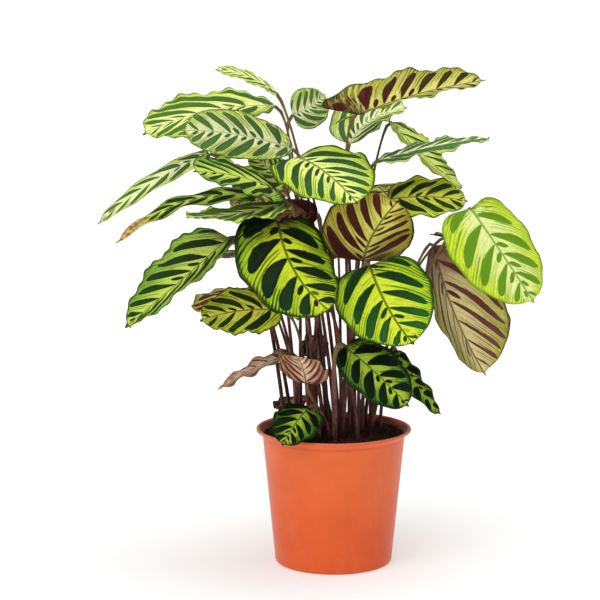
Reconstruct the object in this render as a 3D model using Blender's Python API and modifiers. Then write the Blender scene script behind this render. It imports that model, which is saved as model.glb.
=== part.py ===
"""Potted peacock plant (Goeppertia makoyana) at rest.

Metres, +Z up. The viewer looks along +Y, and the origin is on the pot's axis at its base.
"""

import math

import bmesh
import bpy
import numpy as np
from mathutils import Vector

# Pot: a turned plastic nursery pot
potHeight = 0.150
rimRadius = 0.085
rimBand = 0.0027
rimTopWidth = 0.0030
flareHeight = 0.0120
flareTurns = (0, 25, 48, 70)  # degrees round the hollow curve from the wall out to the rim
wallTopRadius = 0.0775
baseRadius = 0.0645
wall = 0.0020
floorThickness = 0.0022
footRecess = 0.0020
footRingWidth = 0.0070
footPadRadius = 0.0280
footRound = 0.0040
edgeRound = 0.0010
cornerRound = 0.0020
roundMiddle = 0.3  # how much of a rounded edge's radius its middle point lies inside each face
potSides = 36

# Drain holes in the recess under the pot
drainCount = 8
drainRadius = 0.0040
drainCircle = 0.0440

# Soil: fills the pot and rises a little towards the stems
soilEdgeHeight = 0.1430
soilMiddleHeight = 0.1480
soilRingShares = (0.3, 0.55, 0.78)
gap = 0.0003
weldDistance = 0.0001

# Stems: each stands in its own hole, on a sunflower spiral
stemLevel = 0.146
stemFoot = 0.118
seatSpread = 0.0086
goldenAngle = math.pi * (3 - math.sqrt(5))
holeSides = 12
holeTop = 0.154
holeBelow = 0.0010
stemSegments = 5
stemLean = 0.3
stemReach = 0.45
stemSwell = 1.25
stemTaper = 0.6

# A blade's outline, as shares of its length and of its full half width
roundEnd = 0.965
roundPower = 0.92
pointWidth = 0.10
pointLength = 0.09

# Blades: a waved sheet with a raised fold at the midrib
bladeThickness = 0.0008
bladeRows = 10
bladeColumns = 4
collarHalf = 0.0016
tipHalf = 0.0005
creaseRound = 0.0040
bladeCup = 0.10
waveCount = 3.0
waveTurn = 2.4
otherSideTurn = 1.3
waveEdge = 3
waveFade = 0.7
twistStart = 0.3
ribDepth = 0.0013
ribFade = 0.8
lobeEnd = 0.35  # how far up the blade the lobes beside the collar reach
endRows = 0.5  # 0 spaces a blade's rows evenly, 1 crowds them fully towards both ends
sharpAngle = math.radians(60)
usualShape = dict(
    arch=0.006, bend=0.0, fold=0.12, wave=0.003, taper=0.86, roll=0, twist=0, lobe=0.0,
    stem=0.0019, neck=0.024,
)

leafTones = {
    "bright": (150, 182, 52),
    "pale": (168, 190, 112),
    "deep": (70, 104, 36),
    "underside": (128, 96, 72),
}
potColour = (222, 96, 48)
soilColour = (40, 27, 21)
leafRoughness = 0.5
potRoughness = 0.45
soilRoughness = 0.95


def unit(vector):
    return vector / np.linalg.norm(vector)


def seatPlace(seat):
    """Where a stem stands in the soil: the places of a sunflower spiral, counted from the middle."""
    radius = seatSpread * math.sqrt(seat + 0.5)
    turn = seat * goldenAngle
    return np.array([radius * math.cos(turn), radius * math.sin(turn)])


def outline(t, taper):
    """The share of the full half width at each place t along the midrib, with a small drawn-out tip."""
    place = np.clip(t / roundEnd, 0, 1) ** taper
    body = np.sqrt(np.clip(4 * place * (1 - place), 0, 1)) ** roundPower
    point = pointWidth * np.clip((1 - t) / pointLength, 0, 1)
    return np.maximum(body, point)


class Leaf:
    """A blade from its collar to its tip, its upper face turned to `facing`, and the stalk below it."""

    def __init__(self, name, tone, seat, collar, tip, facing, width, **shape):
        self.name = name
        self.tone = tone
        self.seat = seat
        self.width = width
        self.shape = {**usualShape, **shape}
        self.collar = np.array(collar)
        self.axis = np.array(tip) - self.collar
        along = unit(self.axis)
        facing = np.array(facing, float)
        face = unit(facing - facing.dot(along) * along)
        roll = math.radians(self.shape["roll"])
        self.face = face * math.cos(roll) + np.cross(along, face) * math.sin(roll)
        self.side = np.cross(along, self.face)

    def midrib(self, t):
        t = np.asarray(t, float)[..., None]
        bow = self.face * self.shape["arch"] + self.side * self.shape["bend"]
        return self.collar + self.axis * t + bow * (4 * t * (1 - t))

    def frames(self, t):
        """The midrib's direction, the blade's upward direction and its sideways direction at each t."""
        step = 1e-4
        ahead = self.midrib(t + step) - self.midrib(t - step)
        ahead /= np.linalg.norm(ahead, axis=-1, keepdims=True)
        up = self.face - (ahead @ self.face)[..., None] * ahead
        up /= np.linalg.norm(up, axis=-1, keepdims=True)
        turn = np.radians(self.shape["twist"]) * (t - twistStart)
        up = up * np.cos(turn)[..., None] + np.cross(ahead, up) * np.sin(turn)[..., None]
        return ahead, up, np.cross(ahead, up)

    def surface(self, t, v):
        """The blade's middle surface: t runs from collar to tip, v from -1 to 1 across it."""
        ahead, up, side = self.frames(t)
        shape = self.shape
        half = self.width / 2 * outline(t, shape["taper"]) + collarHalf * (1 - t) + tipHalf
        across = half[:, None] * v[None, :]
        lift = shape["fold"] * (np.sqrt(across**2 + creaseRound**2) - creaseRound)
        lift -= bladeCup * across**2 / (self.width / 2)
        ruffle = shape["wave"] * np.abs(v)[None, :] ** waveEdge * np.sin(math.pi * t)[:, None] ** waveFade
        phase = waveTurn * self.seat + np.where(v > 0, 0, otherSideTurn)[None, :]
        lift += ruffle * np.sin(2 * math.pi * waveCount * t[:, None] + phase)
        flat = across / math.sqrt(1 + shape["fold"] ** 2)
        return self.midrib(t)[:, None] + side[:, None] * flat[..., None] + up[:, None] * lift[..., None]

    def lobes(self, t, v):
        """How far each point lies back beside the stalk, where the blade's foot is heart-shaped."""
        share = self.shape["lobe"] * np.linalg.norm(self.axis) * outline(t, self.shape["taper"])
        fade = share * np.clip(1 - t / lobeEnd, 0, 1) ** 2
        return self.frames(t)[0][:, None] * (fade[:, None] * v[None, :] ** 2)[..., None]

    def stemDirection(self):
        """The way the stem leaves the soil: nearly upright, leaning a little towards its blade."""
        out = self.collar - np.array([*seatPlace(self.seat), stemLevel])
        return unit(np.array([out[0] * stemLean, out[1] * stemLean, out[2]]))

    def stemPath(self):
        """Points from the foot of the stem, straight through the soil, then on a curve to the collar."""
        start = np.array([*seatPlace(self.seat), stemLevel])
        lean = self.stemDirection()
        first = start + lean * stemReach * np.linalg.norm(self.collar - start)
        last = self.collar - self.frames(np.array([0.0]))[0][0] * self.shape["neck"]
        s = np.linspace(0, 1, stemSegments + 1)[:, None]
        curve = start * (1 - s) ** 3 + 3 * first * s * (1 - s) ** 2
        curve += 3 * last * s**2 * (1 - s) + self.collar * s**3
        return np.vstack([self.stemEnd(), curve])

    def stemEnd(self):
        lean = self.stemDirection()
        start = np.array([*seatPlace(self.seat), stemLevel])
        return start - lean * (stemLevel - stemFoot) / lean[2]

    def stemRings(self):
        """Round sections up the stem, turned so that their tops meet the blade's upper face."""
        path = self.stemPath()
        ahead = np.gradient(path, axis=0)
        ahead /= np.linalg.norm(ahead, axis=1, keepdims=True)
        up = self.frames(np.array([0.0]))[1][0]
        count = bladeColumns + 1
        turn = math.pi * (1 - (np.arange(count) + 0.5) / count)
        rings = []
        for i in range(len(path) - 1, -1, -1):
            up = unit(up - up.dot(ahead[i]) * ahead[i])
            side = np.cross(ahead[i], up)
            radius = self.shape["stem"] * (stemSwell - stemTaper * i / (len(path) - 1))
            upper = np.outer(np.cos(turn), side) + np.outer(np.sin(turn), up)
            lower = np.outer(np.cos(turn), side) - np.outer(np.sin(turn), up)
            rings.append(path[i] + radius * np.vstack([upper, lower[::-1]]))
        return rings[:0:-1]

    def bladeRings(self):
        """Flat sections along the blade, thicker under the midrib."""
        even = np.linspace(0, 1, bladeRows + 1)
        t = (1 - endRows) * even + endRows * (1 - np.cos(math.pi * even)) / 2
        v = np.linspace(-1, 1, bladeColumns + 1)
        skin = self.surface(t, v)
        normal = np.cross(np.gradient(skin, axis=1), np.gradient(skin, axis=0))
        normal /= np.linalg.norm(normal, axis=-1, keepdims=True)
        below = np.full(skin.shape[:2], bladeThickness / 2)
        below[:, bladeColumns // 2] += ribDepth * (1 - t) ** ribFade
        skin = skin - self.lobes(t, v)
        upper = skin + normal * bladeThickness / 2
        lower = skin - normal * below[..., None]
        return [np.vstack([top, low[::-1]]) for top, low in zip(upper, lower)]


leaves = [
    # Crown
    Leaf("top_left_slim", "pale", 0, (-0.063, 0.025, 0.515), (-0.128, 0.005, 0.541),
         (0, -0.28, 1), 0.046, wave=0.001, taper=0.8),
    Leaf("top_mid_left", "pale", 1, (-0.045, 0.030, 0.491), (-0.010, 0.040, 0.513),
         (-0.3, -0.9, 0.4), 0.043, arch=0.004, bend=0.0026, roll=31),
    Leaf("top_mid", "pale", 8, (0.017, 0.030, 0.459), (0.081, 0.055, 0.497),
         (-0.05, -1, 0.5), 0.082, arch=0.005, bend=-0.0106, fold=0.45, roll=-38),
    Leaf("top_right_large", "underside", 5, (0.023, -0.005, 0.494), (0.160, -0.030, 0.532),
         (-0.2, 0.95, 0.15), 0.054, arch=0.0018, bend=0.0049, fold=0.9, wave=0.005, taper=0.48,
         roll=26, twist=-25, lobe=0.35),
    Leaf("top_front", "bright", 2, (-0.039, -0.015, 0.449), (0.023, -0.105, 0.408),
         (0.1, -0.66, 0.85), 0.100, arch=0.008, lobe=0.2),
    # Left side
    Leaf("upper_left_back", "pale", 9, (-0.065, 0.070, 0.498), (-0.210, 0.045, 0.468),
         (0, -0.42, 1), 0.119, arch=0.009, bend=0.0043, taper=1.35, roll=6),
    Leaf("upper_left_front", "pale", 10, (-0.045, 0.005, 0.456), (-0.161, -0.060, 0.481),
         (0, -0.6, 1), 0.051, arch=-0.002, bend=0.0062, fold=0.1, taper=1.21, roll=-45),
    Leaf("inner_pale", "pale", 4, (-0.054, 0.025, 0.413), (-0.093, 0.005, 0.452),
         (0.2, -0.7, 0.5), 0.046, arch=0.004),
    Leaf("left_long_upper", "pale", 38, (-0.135, 0.015, 0.450), (-0.255, -0.015, 0.376),
         (-0.5, -0.3, 0.85), 0.020, arch=0.004, bend=0.0062, wave=0.0015, taper=0.72, roll=-35),
    Leaf("left_long_lower", "deep", 33, (-0.084, -0.012, 0.407), (-0.234, -0.036, 0.358),
         (-0.3, -0.05, 1), 0.022, arch=0.0149, bend=0.0114, taper=0.56, roll=-29),
    Leaf("left_striped", "bright", 31, (-0.061, -0.050, 0.416), (-0.147, -0.115, 0.443),
         (0.1, -0.45, 1), 0.084),
    Leaf("left_pale", "pale", 17, (-0.052, -0.062, 0.405), (-0.154, -0.125, 0.397),
         (0, -0.05, 1), 0.080, arch=-0.004),
    Leaf("centre_fold", "underside", 20, (-0.018, -0.015, 0.388), (-0.092, -0.038, 0.383),
         (0, 1.6, 0.6), 0.034, wave=0.001, neck=0.01),
    Leaf("left_hanging", "bright", 30, (-0.112, -0.055, 0.367), (-0.222, -0.080, 0.274),
         (-0.6, -0.75, 0.45), 0.083, arch=0.008, bend=-0.012, fold=0.52, taper=0.62, roll=11),
    # Middle
    Leaf("front_centre", "bright", 7, (-0.060, -0.093, 0.390), (-0.005, -0.143, 0.301),
         (0, -1, 0.45), 0.109, arch=-0.0067, bend=0.0092, fold=-0.06, taper=0.74, roll=-27, lobe=0.14),
    Leaf("front_right", "bright", 23, (0.036, -0.079, 0.341), (0.081, -0.124, 0.264),
         (0.1, -1, 0.5), 0.107, arch=-0.0095, bend=0.002, fold=0.25, taper=0.72, roll=-3, lobe=0.05),
    Leaf("centre_underside", "underside", 18, (0.031, -0.028, 0.338), (0.066, -0.084, 0.410),
         (0.2, 1, 0.5), 0.109, arch=-0.0052, bend=0.0079, fold=0.54, taper=0.63, roll=11, lobe=0.35),
    # Right side
    Leaf("right_slim", "pale", 29, (0.046, 0.005, 0.443), (0.169, 0.015, 0.467),
         (0.2, -0.03, 1), 0.075, bend=0.0137, taper=0.75, roll=2),
    Leaf("right_back_bright", "bright", 3, (0.066, 0.085, 0.479), (0.145, 0.090, 0.407),
         (0.5, -0.5, 0.7), 0.063, arch=0.003, bend=0.0194, fold=0.3, wave=0.0015, taper=0.8, roll=-11),
    Leaf("right_mid", "deep", 13, (0.057, -0.005, 0.402), (0.144, -0.012, 0.401),
         (0, -0.5, 0.85), 0.070, arch=0.005),
    Leaf("right_bright", "bright", 26, (0.143, -0.060, 0.399), (0.208, -0.095, 0.303),
         (0.25, -0.95, 0.35), 0.098, arch=0.0023, bend=0.0007, fold=-0.1, wave=0.002, taper=0.73,
         roll=-11, lobe=0.13, neck=0.008),
    Leaf("right_underside", "underside", 21, (0.108, -0.005, 0.352), (0.164, -0.035, 0.214),
         (0.25, 1, 0.25), 0.115, arch=-0.0046, bend=-0.0044, fold=0.64, taper=1.02, roll=20),
    # Low leaves among the stems
    Leaf("low_left", "bright", 12, (-0.057, -0.050, 0.288), (-0.143, -0.070, 0.280),
         (-0.1, -0.65, 0.75), 0.064, arch=0.004, bend=0.0036, roll=-1),
    Leaf("low_left_small", "underside", 25, (-0.051, -0.018, 0.235), (-0.125, -0.064, 0.205),
         (-0.3, 0.5, 0.8), 0.044, arch=0.004),
    Leaf("low_front_small", "underside", 15, (-0.030, -0.042, 0.207), (-0.041, -0.070, 0.243),
         (0, 0.6, 0.8), 0.056, arch=0.004, roll=-17),
    Leaf("low_mid_behind", "deep", 19, (-0.028, 0.080, 0.236), (-0.012, 0.070, 0.212),
         (0.1, -0.9, 0.5), 0.030, arch=0.004),
    Leaf("low_right", "deep", 36, (0.010, -0.084, 0.255), (0.077, -0.112, 0.196),
         (0.1, -0.9, 0.6), 0.058, stem=0.003),
    Leaf("low_right_outer", "deep", 34, (0.068, 0.000, 0.236), (0.116, -0.023, 0.169),
         (0.6, -0.35, 0.6), 0.027, arch=0.005, bend=0.0094, roll=16),
    Leaf("rim_small", "deep", 28, (-0.027, -0.050, 0.182), (-0.056, -0.092, 0.150),
         (-0.2, -0.9, 0.5), 0.050),
    # Back
    Leaf("back_high", "bright", 24, (0.035, 0.095, 0.405), (0.075, 0.205, 0.368),
         (0.1, 0.35, 1), 0.098, arch=0.012),
    Leaf("back_left_high", "pale", 6, (-0.045, 0.085, 0.405), (-0.095, 0.190, 0.365),
         (-0.3, 0.4, 1), 0.092, arch=0.012),
    Leaf("back_centre", "bright", 11, (0.005, 0.110, 0.345), (-0.010, 0.235, 0.300),
         (0, 0.5, 1), 0.104, arch=0.014),
    Leaf("back_right", "bright", 16, (0.125, 0.080, 0.350), (0.205, 0.150, 0.310),
         (0.4, 0.4, 1), 0.094, arch=0.012),
    Leaf("back_left", "deep", 22, (-0.095, 0.075, 0.335), (-0.195, 0.150, 0.285),
         (-0.4, 0.4, 0.9), 0.094, arch=0.012),
    Leaf("back_right_low", "deep", 37, (0.080, 0.105, 0.295), (0.140, 0.195, 0.240),
         (0.5, 0.6, 0.8), 0.088, arch=0.01),
    Leaf("back_low_centre", "bright", 14, (-0.022, 0.095, 0.292), (-0.040, 0.172, 0.240),
         (-0.1, 0.7, 0.8), 0.078, arch=0.008),
    Leaf("back_low_left", "bright", 35, (-0.085, 0.090, 0.290), (-0.150, 0.155, 0.250),
         (-0.5, 0.6, 0.8), 0.084, arch=0.01),
    Leaf("back_small", "deep", 32, (0.022, 0.062, 0.200), (0.060, 0.105, 0.165),
         (0.3, 0.7, 0.7), 0.052, arch=0.005),
    Leaf("back_small_left", "deep", 27, (-0.030, 0.085, 0.168), (-0.055, 0.128, 0.140),
         (-0.4, 0.7, 0.7), 0.050, arch=0.005),
]


def clearScene():
    for thing in list(bpy.data.objects):
        bpy.data.objects.remove(thing, do_unlink=True)


def makeCollection(name):
    collection = bpy.data.collections.new(name)
    bpy.context.scene.collection.children.link(collection)
    return collection


def linear(colour):
    """A screen colour of 0 to 255 as the linear values that a shader takes."""
    return tuple(((value / 255 + 0.055) / 1.055) ** 2.4 for value in colour)


def makeMaterial(name, colour, roughness):
    material = bpy.data.materials.new(name)
    material.use_nodes = True
    shader = material.node_tree.nodes["Principled BSDF"]
    shader.inputs["Base Color"].default_value = (*linear(colour), 1)
    shader.inputs["Roughness"].default_value = roughness
    shader.inputs["Metallic"].default_value = 0
    return material


def addObject(name, mesh, collection, material=None):
    thing = bpy.data.objects.new(name, mesh)
    collection.objects.link(thing)
    if material:
        mesh.materials.append(material)
    return thing


def turnedObject(name, profile, collection, material):
    """A profile of (radius, height) pairs turned about the Z axis."""
    mesh = bpy.data.meshes.new(name)
    points = [(radius, 0, height) for radius, height in profile]
    edges = [(i, i + 1) for i in range(len(points) - 1)]
    mesh.from_pydata(points, edges, [])
    thing = addObject(name, mesh, collection, material)
    screw = thing.modifiers.new("Turn", "SCREW")
    screw.steps = screw.render_steps = potSides
    screw.use_merge_vertices = True
    screw.merge_threshold = weldDistance
    screw.use_smooth_shade = True
    return thing


def cutWith(thing, cutters):
    boolean = thing.modifiers.new("Holes", "BOOLEAN")
    boolean.operand_type = "COLLECTION"
    boolean.collection = cutters
    boolean.operation = "DIFFERENCE"
    boolean.solver = "EXACT"


def addCutter(name, collection, radius, start, end):
    """A round cutter from start to end, whose flats are at the given radius."""
    start, end = Vector(start), Vector(end)
    mesh = bpy.data.meshes.new(name)
    shape = bmesh.new()
    corner = radius / math.cos(math.pi / holeSides)
    bmesh.ops.create_cone(
        shape,
        cap_ends=True,
        segments=holeSides,
        radius1=corner,
        radius2=corner,
        depth=(end - start).length,
    )
    shape.to_mesh(mesh)
    shape.free()
    cutter = addObject(name, mesh, collection)
    cutter.location = (start + end) / 2
    cutter.rotation_mode = "QUATERNION"
    cutter.rotation_quaternion = (end - start).to_track_quat("Z", "Y")
    cutter.hide_render = True
    cutter.display_type = "WIRE"


def flare(offset):
    """Points (radius, height) up the hollow curve below the rim, `offset` in from the outer face."""
    across = rimRadius - edgeRound - wallTopRadius
    foot = potHeight - rimBand - flareHeight
    points = []
    for turn in flareTurns:
        out = (across + offset) * (1 - math.cos(math.radians(turn)))
        rise = (flareHeight + offset) * math.sin(math.radians(turn))
        points.append((wallTopRadius - offset + out, foot + rise))
    return points


def innerRadius(height):
    """The pot's inner radius at a height above its floor's corner."""
    radii, heights = zip((baseRadius - wall, 0), *flare(wall))
    return float(np.interp(height, heights, radii))


def potProfile():
    """From the middle of the floor, up the inside, over the rim, down the outside and under the foot."""
    floorTop = footRecess + floorThickness
    cornerHeight = floorTop + cornerRound
    ringInside = baseRadius - footRingWidth
    middle = edgeRound * roundMiddle
    footMiddle = footRound * roundMiddle
    inside = [
        (0, floorTop),
        (innerRadius(cornerHeight) - cornerRound, floorTop),
        (innerRadius(cornerHeight), cornerHeight),
        *flare(wall),
        (rimRadius - rimTopWidth, potHeight),
    ]
    outside = [
        (rimRadius - edgeRound, potHeight),
        (rimRadius - middle, potHeight - middle),
        (rimRadius, potHeight - edgeRound),
        (rimRadius, potHeight - rimBand + middle),
        (rimRadius - edgeRound, potHeight - rimBand),
        *reversed(flare(0)),
        (baseRadius, footRound),
        (baseRadius - footMiddle, footMiddle),
        (baseRadius - footRound, 0),
    ]
    under = [
        (ringInside, 0),
        (ringInside - edgeRound / 2, footRecess),
        (footPadRadius + edgeRound / 2, footRecess),
        (footPadRadius, 0),
        (0, 0),
    ]
    return inside + outside + under


def soilProfile():
    """From the middle of the soil's top, out over its mound and down inside the pot."""
    edge = innerRadius(soilEdgeHeight) - gap
    rise = soilMiddleHeight - soilEdgeHeight
    mound = [(edge * share, soilEdgeHeight + rise * (1 - share**2)) for share in soilRingShares]
    floorTop = footRecess + floorThickness + gap
    cornerHeight = floorTop + cornerRound
    bends = [(radius - gap, height) for radius, height in flare(wall) if height < soilEdgeHeight]
    wallSide = [
        (edge, soilEdgeHeight),
        *reversed(bends),
        (innerRadius(cornerHeight) - gap, cornerHeight),
        (innerRadius(cornerHeight) - cornerRound - gap, floorTop),
    ]
    return [(0, soilMiddleHeight)] + mound + wallSide + [(0, floorTop)]


def makePot(parts):
    material = makeMaterial("terracotta_plastic", potColour, potRoughness)
    pot = turnedObject("pot", potProfile(), parts, material)
    cutters = makeCollection("drain_hole_cutters")
    top = footRecess + 2 * floorThickness
    for i in range(drainCount):
        turn = 2 * math.pi * (i + 0.5) / drainCount
        x, y = drainCircle * math.cos(turn), drainCircle * math.sin(turn)
        addCutter(f"drain_cutter_{i + 1}", cutters, drainRadius, (x, y, 0), (x, y, top))
    cutWith(pot, cutters)


def makeSoil(parts):
    material = makeMaterial("moist_soil", soilColour, soilRoughness)
    soil = turnedObject("soil", soilProfile(), parts, material)
    cutters = makeCollection("stem_hole_cutters")
    for leaf in leaves:
        lean = leaf.stemDirection()
        foot = leaf.stemEnd()
        radius = leaf.shape["stem"] * stemSwell + gap
        top = foot + lean * (holeTop - stemFoot) / lean[2]
        addCutter(f"{leaf.name}_hole", cutters, radius, foot - lean * holeBelow, top)
    cutWith(soil, cutters)


def loft(rings):
    """A closed mesh through rings of points. Both faces of a blade are split along the same diagonals."""
    shape = bmesh.new()
    rows = [[shape.verts.new(point) for point in ring] for ring in rings]
    count = len(rows[0])
    half = count // 2
    for low, high in zip(rows, rows[1:]):
        for j in range(count):
            k = (j + 1) % count
            if j < half:
                shape.faces.new((low[j], low[k], high[k]))
                shape.faces.new((low[j], high[k], high[j]))
            else:
                shape.faces.new((low[j], low[k], high[j]))
                shape.faces.new((low[k], high[k], high[j]))
    for j in range(half - 1):
        a, b, c, d = j, j + 1, count - 2 - j, count - 1 - j
        first, last = rows[0], rows[-1]
        shape.faces.new((first[a], first[d], first[b]))
        shape.faces.new((first[b], first[d], first[c]))
        shape.faces.new((last[a], last[b], last[d]))
        shape.faces.new((last[b], last[c], last[d]))
    return shape


def makeLeaf(leaf, parts, material):
    mesh = bpy.data.meshes.new(leaf.name)
    shape = loft(leaf.stemRings() + leaf.bladeRings())
    shape.to_mesh(mesh)
    shape.free()
    mesh.shade_smooth()
    mesh.set_sharp_from_angle(angle=sharpAngle)
    addObject(f"leaf_{leaf.name}", mesh, parts, material)


def main():
    clearScene()
    parts = makeCollection("potted_peacock_plant")
    makePot(parts)
    makeSoil(parts)
    tones = {}
    for name, colour in leafTones.items():
        tones[name] = makeMaterial(f"leaf_{name}", colour, leafRoughness)
    for leaf in leaves:
        makeLeaf(leaf, parts, tones[leaf.tone])


main()
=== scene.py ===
import math
from functools import cache
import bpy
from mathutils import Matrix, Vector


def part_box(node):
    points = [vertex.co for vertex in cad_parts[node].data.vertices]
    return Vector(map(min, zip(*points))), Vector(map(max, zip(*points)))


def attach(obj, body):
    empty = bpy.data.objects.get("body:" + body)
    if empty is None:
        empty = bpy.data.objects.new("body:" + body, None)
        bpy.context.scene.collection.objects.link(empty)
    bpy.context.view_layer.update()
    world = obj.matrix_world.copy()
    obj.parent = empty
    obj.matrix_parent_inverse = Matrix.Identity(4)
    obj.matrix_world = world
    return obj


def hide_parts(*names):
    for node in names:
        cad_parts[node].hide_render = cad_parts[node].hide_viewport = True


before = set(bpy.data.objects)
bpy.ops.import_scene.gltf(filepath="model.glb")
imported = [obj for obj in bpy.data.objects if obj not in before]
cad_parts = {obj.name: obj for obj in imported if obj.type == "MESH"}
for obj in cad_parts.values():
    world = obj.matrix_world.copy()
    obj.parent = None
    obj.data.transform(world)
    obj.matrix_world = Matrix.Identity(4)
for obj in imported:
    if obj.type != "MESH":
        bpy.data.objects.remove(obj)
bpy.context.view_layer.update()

from types import SimpleNamespace

import bpy
from mathutils import Vector

goldenAngle = math.pi * (3 - math.sqrt(5))


# Node maths written as plain expressions, for shaders and for geometry

class Term:
    def __init__(self, tree, socket):
        self.tree = tree
        self.socket = socket

    def join(self, operation, first, second):
        pair = (first, second)
        if any(isinstance(x, (tuple, Vector)) or isinstance(x, Term) and x.isVector() for x in pair):
            return vectorMaths(operation, *[(x, x, x) if isinstance(x, (int, float)) else x for x in pair])
        return maths(operation, *pair)

    def isVector(self):
        return self.socket.type in ("VECTOR", "RGBA")

    def __add__(self, other):
        return self.join("ADD", self, other)

    def __radd__(self, other):
        return self.join("ADD", other, self)

    def __sub__(self, other):
        return self.join("SUBTRACT", self, other)

    def __rsub__(self, other):
        return self.join("SUBTRACT", other, self)

    def __mul__(self, other):
        return self.join("MULTIPLY", self, other)

    def __rmul__(self, other):
        return self.join("MULTIPLY", other, self)

    def __truediv__(self, other):
        return self.join("DIVIDE", self, other)

    def __rtruediv__(self, other):
        return self.join("DIVIDE", other, self)

    def __pow__(self, power):
        return self.join("POWER", self, power)


def plug(target, values):  # sets a node's inputs, and links those whose value is a term
    for key, value in values.items():
        if isinstance(value, Term):
            value.tree.links.new(value.socket, target.inputs[key])
        else:
            target.inputs[key].default_value = value


def node(tree, kind, settings=None, values=None, output=0):  # makes any node, and gives one of its outputs
    made = tree.nodes.new(kind)
    for name, value in (settings or {}).items():
        setattr(made, name, value)
    plug(made, values or {})
    return Term(tree, made.outputs[output])


def treeOf(values):
    return next(value.tree for value in values if isinstance(value, Term))


def maths(operation, *values):
    return node(treeOf(values), "ShaderNodeMath", {"operation": operation}, dict(enumerate(values)))


def vectorMaths(operation, *values, output=0):
    return node(treeOf(values), "ShaderNodeVectorMath", {"operation": operation},
                dict(enumerate(values)), output)


def between(limits, share):  # the first number, and as much of the second as the share has
    return limits[0] + limits[1] * share


def clipped(value):
    return maths("MINIMUM", maths("MAXIMUM", value, 0), 1)


def ramp(value, start, end):  # 0 at start, 1 at end, smooth between them
    return node(value.tree, "ShaderNodeMapRange", {"interpolation_type": "SMOOTHSTEP"},
                {0: value, 1: start, 2: end})


def parts(vector):
    made = node(vector.tree, "ShaderNodeSeparateXYZ", None, {0: vector})
    return [Term(vector.tree, socket) for socket in made.socket.node.outputs]


def together(*values):
    return node(treeOf(values), "ShaderNodeCombineXYZ", None, dict(enumerate(values)))


def noise(place, scale, detail, roughness):
    return node(place.tree, "ShaderNodeTexNoise", {"noise_dimensions": "3D"},
                {"Vector": place, "Scale": scale, "Detail": detail, "Roughness": roughness})


def chance(*values):  # a fixed random number from 0 to 1 for each three values
    return node(treeOf(values), "ShaderNodeTexWhiteNoise", {"noise_dimensions": "3D"},
                {"Vector": together(*values)})


def attribute(tree, name):  # the three numbers that a piece's points carry under a name
    return parts(node(tree, "ShaderNodeAttribute", {"attribute_name": name}, output=1))


def ownPlace(tree):  # the place on the piece, in metres
    return node(tree, "ShaderNodeTexCoord", output=3)


def mixed(share, first, second):
    return node(share.tree, "ShaderNodeMix", {"data_type": "RGBA"}, {0: share, 6: first, 7: second}, 2)


def layered(colour, *layers):  # lays tints over a colour in turn, each with its share
    for share, tint in layers:
        colour = mixed(share, colour, tint)
    return colour


def screen(red, green, blue):  # a colour as it looks on a screen, 0 to 255
    return tuple(((value / 255 + 0.055) / 1.055) ** 2.4 for value in (red, green, blue)) + (1,)


def newMaterial(name):
    material = bpy.data.materials.new(name)
    material.use_nodes = True
    tree = material.node_tree
    return material, tree, tree.nodes["Principled BSDF"]


def bumped(height, distance):
    return node(height.tree, "ShaderNodeBump", None, {"Height": height, "Distance": distance})


def newTree(name, inputs):  # a geometry tree, its named inputs as terms, and their identifiers
    tree = bpy.data.node_groups.new(name, "GeometryNodeTree")
    tree.interface.new_socket("Geometry", in_out="INPUT", socket_type="NodeSocketGeometry")
    tree.interface.new_socket("Geometry", in_out="OUTPUT", socket_type="NodeSocketGeometry")
    identifiers = {}
    for title, kind in inputs.items():
        socket = tree.interface.new_socket(title, in_out="INPUT", socket_type="NodeSocket" + kind)
        identifiers[title] = socket.identifier
    start = tree.nodes.new("NodeGroupInput")
    return tree, {socket.name: Term(tree, socket) for socket in start.outputs}, identifiers


def covered(geometry, material):
    return node(geometry.tree, "GeometryNodeSetMaterial", None, {0: geometry, "Material": material})


def stored(geometry, name, *values):  # keeps three numbers on each point, for the material to read
    return node(geometry.tree, "GeometryNodeStoreNamedAttribute",
                {"data_type": "FLOAT_VECTOR", "domain": "POINT"},
                {"Geometry": geometry, "Name": name, "Value": together(*values)})


def endTree(tree, pieces, material=None):  # joins the pieces, shades them smooth and makes them real
    joined = tree.nodes.new("GeometryNodeJoinGeometry")
    for piece in pieces:
        tree.links.new(piece.socket, joined.inputs[0])
    smooth = node(tree, "GeometryNodeSetShadeSmooth", None, {0: Term(tree, joined.outputs[0])})
    whole = node(tree, "GeometryNodeRealizeInstances", None, {0: smooth})
    if material:
        whole = covered(whole, material)
    plug(tree.nodes.new("NodeGroupOutput"), {0: whole})


def grown(thing, tree, identifiers, values):  # runs a geometry tree on an object
    modifier = thing.modifiers.new("Grow", "NODES")
    modifier.node_group = tree
    for title, value in values.items():
        modifier[identifiers[title]] = value
    return settled(thing)


def settled(thing):  # the object as its modifiers leave it, as a plain mesh
    graph = bpy.context.evaluated_depsgraph_get()
    mesh = bpy.data.meshes.new_from_object(thing.evaluated_get(graph), depsgraph=graph)
    name = thing.name
    bpy.data.objects.remove(thing)
    return link(name, mesh)


def link(name, data):
    thing = bpy.data.objects.new(name, data)
    bpy.context.scene.collection.objects.link(thing)
    return thing


def handOver(piece, cadNode):
    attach(piece, "root")
    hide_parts(cadNode)


# Camera, light and floor

view = dict(
    eye=(-0.037, -2.35, 0.66), pitch=8.91, focalPixels=2183, picturePixels=600,
)

light = dict(
    world=0.42, backdrop=1.0,
    key=dict(source=(-1.0, -1.6, 1.5), spread=50, strength=1.2),
    top=dict(source=(0.15, 0.1, 1.0), spread=60, strength=1.7),
)

floor = dict(
    radius=6, sides=64, colour=(0.64, 0.64, 0.64, 1), roughness=0.9, glow=0.4,
)
white = (1, 1, 1, 1)


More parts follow.
